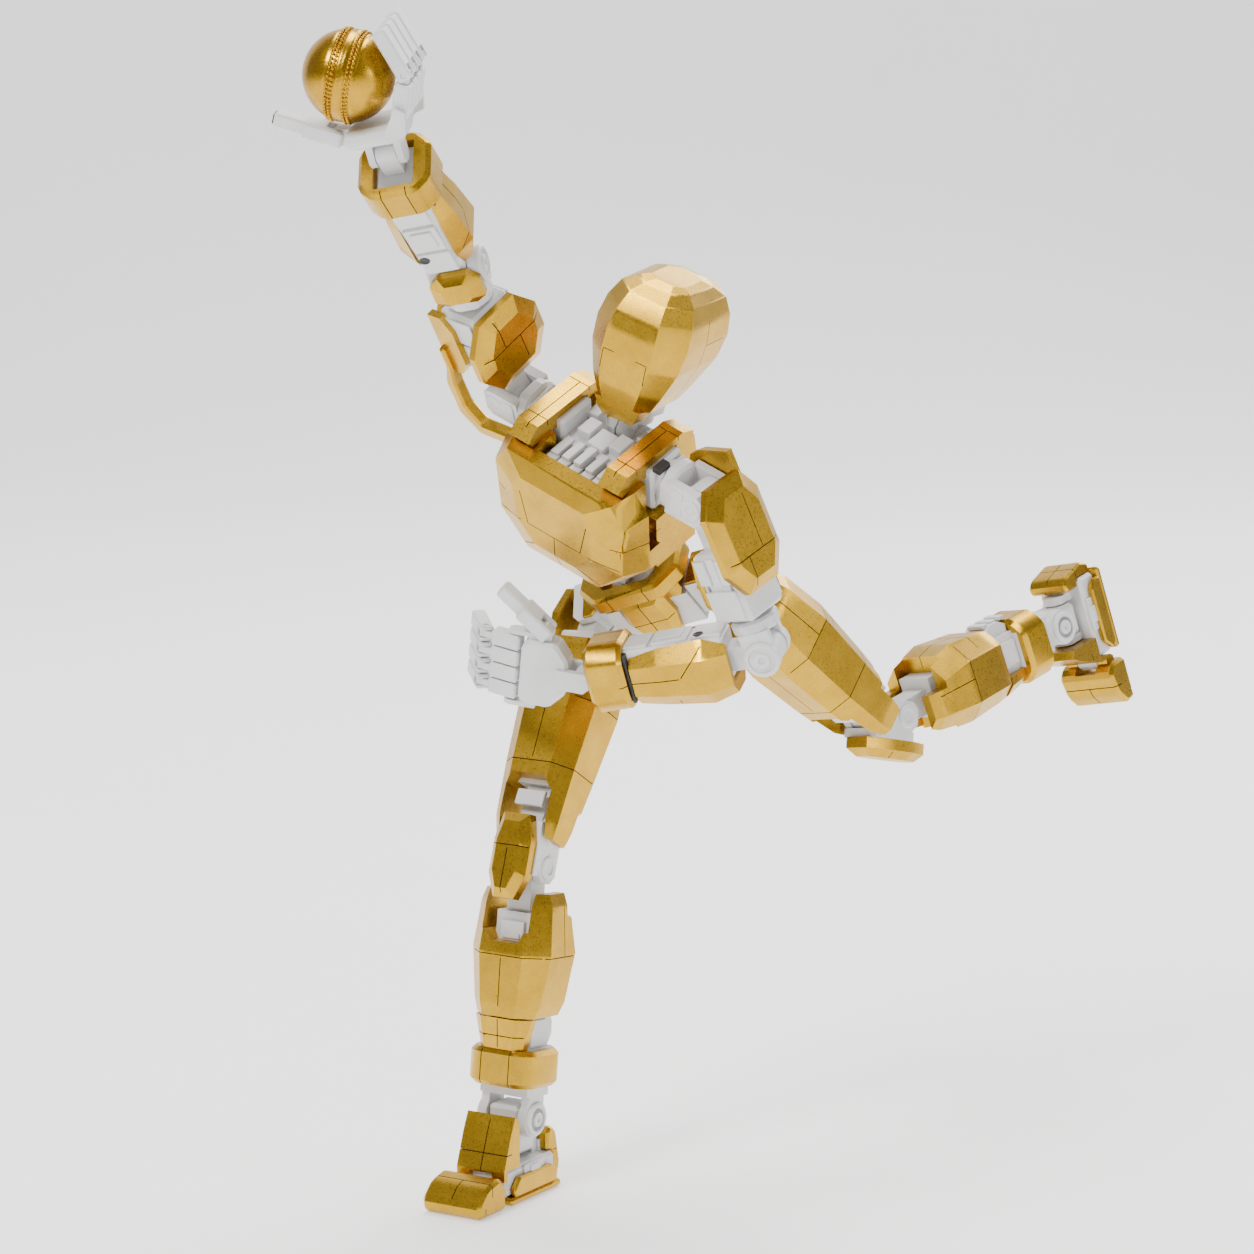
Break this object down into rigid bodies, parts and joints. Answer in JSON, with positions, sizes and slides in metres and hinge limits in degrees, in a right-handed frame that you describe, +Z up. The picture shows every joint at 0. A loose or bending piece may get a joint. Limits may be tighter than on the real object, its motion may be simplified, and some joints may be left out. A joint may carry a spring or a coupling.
{
  "type": "poseable robot figure",
  "caption": "Poseable humanoid robot figure in a bowling stride, faceted gold armour over a white jointed frame, holding a seamed ball overhead.",
  "frame": {"origin": "centre of the standing (right) foot's sole, at the mouth of its stand socket", "axes": "+Z up along the figure's height, -Y towards the viewer of the picture, +X to the viewer's right (the raised leg's side)"},
  "size_m": [0.2912, 0.246, 0.39],
  "materials": {
    "armour": "satin metallic gold",
    "inner_frame": "matte white",
    "ball": "satin metallic gold",
    "battery": "matte dark wrap",
    "board": "matte green"
  },
  "bodies": {
    "right_foot": {"foot_frame_r": "inner_frame", "foot_plates_r": "armour"},
    "right_toe": {"toe_cap_r": "armour"},
    "right_ankle": {"ankle_block_r": "inner_frame"},
    "right_shin": {"shin_frame_r": "inner_frame", "shin_plates_r": "armour"},
    "right_knee": {"knee_core_r": "inner_frame", "kneecap_r": "armour"},
    "right_thigh": {"thigh_frame_r": "inner_frame", "thigh_shell_r": "armour"},
    "right_hip_yoke": {"hip_yoke_r": "inner_frame", "hip_cap_r": "armour"},
    "right_hip_block": {"hip_block_r": "inner_frame"},
    "pelvis": {"pelvis_frame": "inner_frame", "pelvis_plates": "armour"},
    "waist_ring": {"waist_ring": "inner_frame"},
    "abdomen": {"abdomen_core": "inner_frame"},
    "chest": {"chest_frame": "inner_frame", "chest_plates": "armour", "collar_plates": "armour", "battery_pack": "battery", "control_board": "board"},
    "neck": {"neck_post": "inner_frame"},
    "head": {"head_frame": "inner_frame", "head_shell": "armour"},
    "right_shoulder": {"shoulder_core_r": "inner_frame"},
    "right_upper_arm": {"upper_arm_frame_r": "inner_frame", "upper_arm_plates_r": "armour"},
    "right_elbow": {"elbow_block_r": "inner_frame", "elbow_cap_r": "armour"},
    "right_forearm": {"forearm_frame_r": "inner_frame", "forearm_plates_r": "armour"},
    "right_hand": {"palm_r": "inner_frame", "ball": "ball"},
    "right_finger_bases": {"finger_bases_r": "inner_frame"},
    "right_finger_tips": {"finger_tips_r": "inner_frame"},
    "right_thumb": {"thumb_r": "inner_frame"},
    "left_shoulder": {"shoulder_core_l": "inner_frame"},
    "left_upper_arm": {"upper_arm_frame_l": "inner_frame", "upper_arm_plates_l": "armour"},
    "left_elbow": {"elbow_block_l": "inner_frame"},
    "left_forearm": {"forearm_frame_l": "inner_frame", "forearm_plates_l": "armour"},
    "left_hand": {"palm_l": "inner_frame"},
    "left_finger_bases": {"finger_bases_l": "inner_frame"},
    "left_finger_tips": {"finger_tips_l": "inner_frame"},
    "left_thumb": {"thumb_l": "inner_frame"},
    "left_foot": {"foot_frame_l": "inner_frame", "foot_plates_l": "armour"},
    "left_toe": {"toe_cap_l": "armour"},
    "left_ankle": {"ankle_block_l": "inner_frame"},
    "left_shin": {"shin_frame_l": "inner_frame", "shin_plates_l": "armour"},
    "left_knee": {"knee_core_l": "inner_frame", "kneecap_l": "armour"},
    "left_thigh": {"thigh_frame_l": "inner_frame", "thigh_shell_l": "armour"},
    "left_hip_yoke": {"hip_yoke_l": "inner_frame", "hip_cap_l": "armour"},
    "left_hip_block": {"hip_block_l": "inner_frame"}
  },
  "joints": [
    {"name": "toe_r", "type": "hinge", "parent": "right_foot", "child": "right_toe", "pos_m": [-0.01039, -0.01709, 0.0055], "axis": [-0.8545, 0.5195, 0], "range_deg": [0, 25]},
    {"name": "ankle_roll_r", "type": "hinge", "parent": "right_foot", "child": "right_ankle", "pos_m": [0, 0, 0.017], "axis": [0.5195, 0.8545, 0], "range_deg": [-12, 12]},
    {"name": "ankle_pitch_r", "type": "hinge", "parent": "right_ankle", "child": "right_shin", "pos_m": [0.00011, -0.00006, 0.026], "axis": [0.8544, -0.5195, -0.014], "range_deg": [-20, 20]},
    {"name": "knee_lower_r", "type": "hinge", "parent": "right_shin", "child": "right_knee", "pos_m": [0.00574, 0.00696, 0.10952], "axis": [-0.8544, 0.5195, 0.014], "range_deg": [-11, 30]},
    {"name": "knee_upper_r", "type": "hinge", "parent": "right_knee", "child": "right_thigh", "pos_m": [0.00762, 0.00976, 0.11998], "axis": [-0.8544, 0.5195, 0.014], "range_deg": [-11, 30]},
    {"name": "hip_turn_r", "type": "hinge", "parent": "right_thigh", "child": "right_hip_yoke", "pos_m": [0.02871, 0.0426, 0.18867], "axis": [0.267, 0.4157, 0.8694], "range_deg": [-25, 25]},
    {"name": "hip_spread_r", "type": "hinge", "parent": "right_hip_yoke", "child": "right_hip_block", "pos_m": [0.02871, 0.0426, 0.18867], "axis": [0.5466, 0.6777, -0.4919], "range_deg": [-10, 25]},
    {"name": "hip_swing_r", "type": "hinge", "parent": "right_hip_block", "child": "pelvis", "pos_m": [0.02871, 0.0426, 0.18867], "axis": [0.8368, -0.4635, 0.2914], "range_deg": [-70, 10]},
    {"name": "waist_turn", "type": "hinge", "parent": "pelvis", "child": "waist_ring", "pos_m": [0.03807, 0.0191, 0.21158], "axis": [-0.5218, -0.5144, 0.6805], "range_deg": [-30, 60]},
    {"name": "waist_side", "type": "hinge", "parent": "waist_ring", "child": "abdomen", "pos_m": [0.03807, 0.0191, 0.21158], "axis": [0.5978, 0.3485, 0.7219], "range_deg": [-40, 4]},
    {"name": "waist_bend", "type": "hinge", "parent": "abdomen", "child": "chest", "pos_m": [0.03332, 0.00344, 0.22308], "axis": [0.7657, -0.5148, -0.3855], "range_deg": [-8, 15]},
    {"name": "neck_bend", "type": "hinge", "parent": "chest", "child": "neck", "pos_m": [0.04011, -0.01135, 0.25631], "axis": [0.7657, -0.5148, -0.3855], "range_deg": [-12, 8]},
    {"name": "head_turn", "type": "hinge", "parent": "neck", "child": "head", "pos_m": [0.04011, -0.01135, 0.25631], "axis": [0.2477, -0.3171, 0.9155], "range_deg": [-28, 9]},
    {"name": "arm_swing_r", "type": "hinge", "parent": "chest", "child": "right_shoulder", "pos_m": [0.00091, 0.00052, 0.26895], "axis": [0.7657, -0.5148, -0.3855], "range_deg": [-60, 60]},
    {"name": "arm_raise_r", "type": "hinge", "parent": "right_shoulder", "child": "right_upper_arm", "pos_m": [0.00091, 0.00052, 0.26895], "axis": [0.6304, 0.4817, 0.6087], "range_deg": [-75, 10]},
    {"name": "arm_turn_r", "type": "hinge", "parent": "right_upper_arm", "child": "right_elbow", "pos_m": [-0.01477, -0.03085, 0.31001], "axis": [0.2904, 0.5809, -0.7604], "range_deg": [-60, 60]},
    {"name": "elbow_r", "type": "hinge", "parent": "right_elbow", "child": "right_forearm", "pos_m": [-0.01477, -0.03085, 0.31001], "axis": [-0.954, 0.2381, -0.1823], "range_deg": [-2, 75]},
    {"name": "wrist_r", "type": "hinge", "parent": "right_forearm", "child": "right_hand", "pos_m": [-0.03366, -0.07856, 0.34656], "axis": [-0.954, 0.2381, -0.1823], "range_deg": [-35, 10]},
    {"name": "finger_curl_r", "type": "hinge", "parent": "right_hand", "child": "right_finger_bases", "pos_m": [-0.02733, -0.085, 0.36204], "axis": [0.1721, 0.9325, 0.3176], "range_deg": [0, 30]},
    {"name": "tip_curl_r", "type": "hinge", "parent": "right_finger_bases", "child": "right_finger_tips", "pos_m": [-0.02577, -0.08909, 0.37322], "axis": [0.1721, 0.9325, 0.3176], "range_deg": [0, 30]},
    {"name": "thumb_r", "type": "hinge", "parent": "right_hand", "child": "right_thumb", "pos_m": [-0.04913, -0.07756, 0.35201], "axis": [-0.1721, -0.9325, -0.3176], "range_deg": [0, 25]},
    {"name": "arm_swing_l", "type": "hinge", "parent": "chest", "child": "left_shoulder", "pos_m": [0.0637, -0.04169, 0.23734], "axis": [-0.7657, 0.5148, 0.3855], "range_deg": [-12, 24]},
    {"name": "arm_raise_l", "type": "hinge", "parent": "left_shoulder", "child": "left_upper_arm", "pos_m": [0.0637, -0.04169, 0.23734], "axis": [0.6404, 0.6662, 0.3823], "range_deg": [-50, 12]},
    {"name": "arm_turn_l", "type": "hinge", "parent": "left_upper_arm", "child": "left_elbow", "pos_m": [0.08363, -0.03253, 0.18799], "axis": [-0.3691, -0.1697, 0.9138], "range_deg": [-18, 60]},
    {"name": "elbow_l", "type": "hinge", "parent": "left_elbow", "child": "left_forearm", "pos_m": [0.08363, -0.03253, 0.18799], "axis": [-0.2304, -0.9358, -0.2668], "range_deg": [-6, 14]},
    {"name": "wrist_l", "type": "hinge", "parent": "left_forearm", "child": "left_hand", "pos_m": [0.02439, -0.0146, 0.17627], "axis": [-0.2304, -0.9358, -0.2668], "range_deg": [-10, 40]},
    {"name": "finger_curl_l", "type": "hinge", "parent": "left_hand", "child": "left_finger_bases", "pos_m": [0.0018, -0.01003, 0.17973], "axis": [-0.0867, 0.2928, -0.9522], "range_deg": [-12, 30]},
    {"name": "tip_curl_l", "type": "hinge", "parent": "left_finger_bases", "child": "left_finger_tips", "pos_m": [-0.0081, -0.00578, 0.18194], "axis": [-0.0867, 0.2928, -0.9522], "range_deg": [-12, 30]},
    {"name": "thumb_l", "type": "hinge", "parent": "left_hand", "child": "left_thumb", "pos_m": [0.01209, -0.01616, 0.19235], "axis": [-0.2304, -0.9358, -0.2668], "range_deg": [-20, 14]},
    {"name": "hip_swing_l", "type": "hinge", "parent": "pelvis", "child": "left_hip_block", "pos_m": [0.07122, 0.01906, 0.20347], "axis": [0.8368, -0.4635, 0.2914], "range_deg": [-60, 40]},
    {"name": "hip_spread_l", "type": "hinge", "parent": "left_hip_block", "child": "left_hip_yoke", "pos_m": [0.07122, 0.01906, 0.20347], "axis": [0.171, 0.7268, 0.6652], "range_deg": [-20, 10]},
    {"name": "hip_turn_l", "type": "hinge", "parent": "left_hip_yoke", "child": "left_thigh", "pos_m": [0.07122, 0.01906, 0.20347], "axis": [-0.6394, -0.4318, 0.6362], "range_deg": [-25, 25]},
    {"name": "knee_upper_l", "type": "hinge", "parent": "left_thigh", "child": "left_knee", "pos_m": [0.12173, 0.05317, 0.15321], "axis": [0.651, -0.7443, 0.1491], "range_deg": [-27, 22]},
    {"name": "knee_lower_l", "type": "hinge", "parent": "left_knee", "child": "left_shin", "pos_m": [0.13005, 0.06, 0.15096], "axis": [0.651, -0.7443, 0.1491], "range_deg": [-27, 22]},
    {"name": "ankle_pitch_l", "type": "hinge", "parent": "left_shin", "child": "left_ankle", "pos_m": [0.18849, 0.11574, 0.17407], "axis": [0.651, -0.7443, 0.1491], "range_deg": [-13, 20]},
    {"name": "ankle_roll_l", "type": "hinge", "parent": "left_ankle", "child": "left_foot", "pos_m": [0.19485, 0.12173, 0.17623], "axis": [-0.278, -0.051, 0.9592], "range_deg": [-18, 6]},
    {"name": "toe_l", "type": "hinge", "parent": "left_foot", "child": "left_toe", "pos_m": [0.20726, 0.13165, 0.1595], "axis": [-0.7535, 0.631, -0.1848], "range_deg": [0, 25]}
  ],
  "couplings": [
    {"joint": "knee_upper_r", "follows": "knee_lower_r", "ratio": 1},
    {"joint": "tip_curl_r", "follows": "finger_curl_r", "ratio": 1},
    {"joint": "tip_curl_l", "follows": "finger_curl_l", "ratio": 1},
    {"joint": "knee_lower_l", "follows": "knee_upper_l", "ratio": 1}
  ]
}
